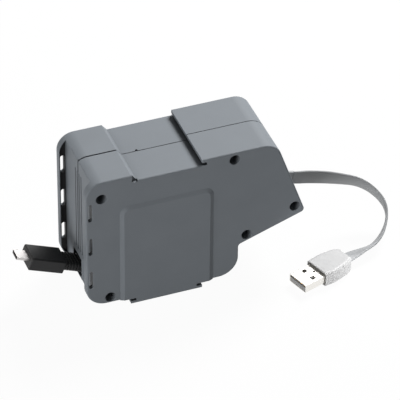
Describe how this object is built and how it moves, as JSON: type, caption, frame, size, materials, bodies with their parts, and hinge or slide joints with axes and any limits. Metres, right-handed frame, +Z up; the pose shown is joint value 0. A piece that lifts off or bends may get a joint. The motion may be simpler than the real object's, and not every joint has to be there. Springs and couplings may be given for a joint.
{
  "type": "retractable charging cable",
  "caption": "Spring-wound flat charging cable in a two-part slate grey case, with a small plug that pulls out of one end and a short tail to a large plug at the other.",
  "frame": {"origin": "centre of the foot rail's underside, on the parting plane of the two halves", "axes": "+X along the case towards its sloped nose and the tail, +Z up from the foot rail, +Y away from the side with the screw wells"},
  "size_m": [0.1879, 0.0669, 0.076],
  "materials": {
    "case": "finely textured slate grey moulding",
    "black_screw": "black oxide",
    "steel": "ground",
    "spring_steel": "blued strip",
    "white_moulding": "natural acetal",
    "board": "solder mask",
    "contact_metal": "gold flash",
    "cable": "smooth grey flexible jacket",
    "black_plastic": "satin black",
    "pale_grip": "satin pale grey",
    "tongue_grey": "satin",
    "plug_metal": "bright nickel"
  },
  "bodies": {
    "case": {"near_shell": "case", "far_shell": "case", "flange_pads": "black_plastic", "case_screws": "black_screw", "axle": "steel", "thrust_washers": "steel", "pawl_pin": "steel", "pawl_spring": "spring_steel", "brush_block": "black_plastic", "brushes": "contact_metal", "lead_run": "cable", "tail_inner": "cable", "tail_cable": "cable", "usb_plug_grip": "pale_grip", "usb_plug_collar": "black_plastic", "usb_plug_shell": "plug_metal", "usb_plug_tongue": "tongue_grey", "usb_plug_contacts": "contact_metal"},
    "drum": {"drum": "white_moulding", "barrel_cover": "white_moulding", "slip_ring_board": "board", "slip_rings": "contact_metal", "cable_coil": "cable", "power_spring": "spring_steel"},
    "pawl": {"pawl": "white_moulding"},
    "plug": {"pull_lead": "cable", "micro_plug_grip": "black_plastic", "micro_plug_shell": "plug_metal", "micro_plug_tongue": "black_plastic", "micro_plug_contacts": "contact_metal"}
  },
  "joints": [
    {"name": "drum_spin", "type": "hinge", "parent": "case", "child": "drum", "pos_m": [-0.00237, 0, 0.03778], "axis": [0, 1, 0], "range_deg": [0, 1800], "stiffness_Nm_per_rad": 0.0008, "springref_deg": -343.77, "deforming": ["power_spring"]},
    {"name": "plug_pull", "type": "slide", "parent": "case", "child": "plug", "axis": [-0.9252, 0, 0.3795], "range_m": [0, 0.81918]},
    {"name": "pawl_rock", "type": "hinge", "parent": "case", "child": "pawl", "pos_m": [0.02832, 0, 0.05848], "axis": [0, 1, 0], "range_deg": [0, 9], "stiffness_Nm_per_rad": 0.002, "deforming": ["pawl_spring"]}
  ],
  "couplings": [
    {"joint": "plug_pull", "follows": "drum_spin", "m_per_rad": 0.026075}
  ]
}
